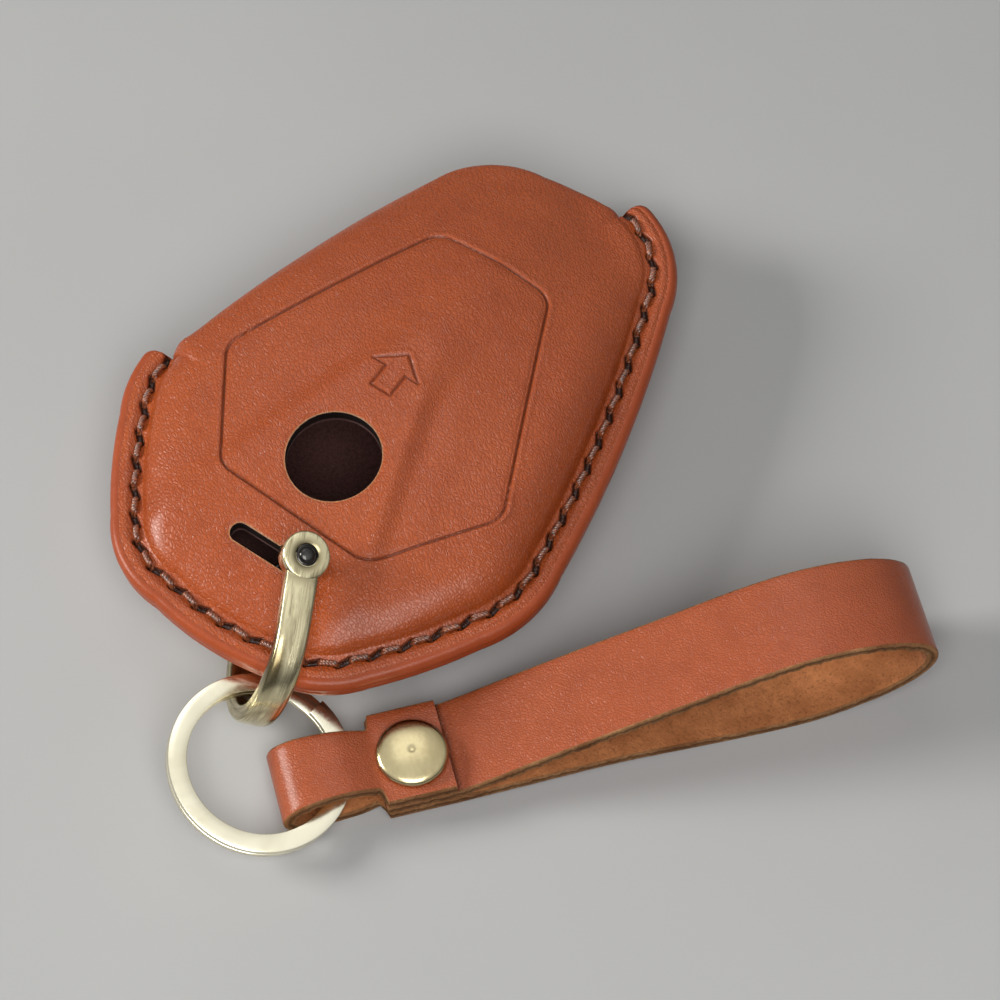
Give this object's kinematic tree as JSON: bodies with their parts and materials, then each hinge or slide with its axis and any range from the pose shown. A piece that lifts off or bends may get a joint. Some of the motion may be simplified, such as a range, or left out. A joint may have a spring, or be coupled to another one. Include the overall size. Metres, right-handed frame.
{
  "type": "key fob cover",
  "caption": "Moulded leather cover for a car key fob, open along one side, with a screw-pin shackle through slots, a flat split ring and a riveted leather wrist loop.",
  "frame": {"origin": "middle of the flat of the cover's back, on which it lies", "axes": "+Z up through the cover's front, +Y along the cover from the shackle end to the blade end, +X to the right seen from above with +Y up"},
  "size_m": [0.1028, 0.1003, 0.022],
  "materials": {
    "leather_front": "satin",
    "leather_back": "satin",
    "leather_strap": "satin",
    "lining": "matte",
    "thread": "satin",
    "antique_brass": "satin",
    "ring_brass": "satin",
    "dark_steel": "polished"
  },
  "bodies": {
    "cover": {"front_shell": "leather_front", "back_shell": "leather_back", "front_lining": "lining", "back_lining": "lining", "seam_thread": "thread"},
    "pin": {"shackle_screw": "dark_steel"},
    "shackle": {"shackle": "antique_brass"},
    "ring": {"split_ring": "ring_brass"},
    "loop": {"strap_band": "leather_strap", "rivet_cap": "antique_brass", "rivet_post": "antique_brass"}
  },
  "joints": [
    {"name": "pin_slide", "type": "slide", "parent": "cover", "child": "pin", "axis": [1, 0, 0], "range_m": [-0.0025, 0]},
    {"name": "shackle_swing", "type": "hinge", "parent": "pin", "child": "shackle", "pos_m": [0.0021, -0.03, 0.0121], "axis": [0.454, 0, 0.891], "range_deg": [-8, 1]},
    {"name": "ring_swing", "type": "hinge", "parent": "shackle", "child": "ring", "pos_m": [0.00791, -0.04499, 0.00497], "axis": [0.5945, -0.3637, 0.7172], "range_deg": [-16, 0.5]},
    {"name": "loop_swing", "type": "hinge", "parent": "ring", "child": "loop", "pos_m": [0.02153, -0.04454, 0.00317], "axis": [-0.5312, 0.8429, 0.0858], "range_deg": [-12, 16]}
  ]
}
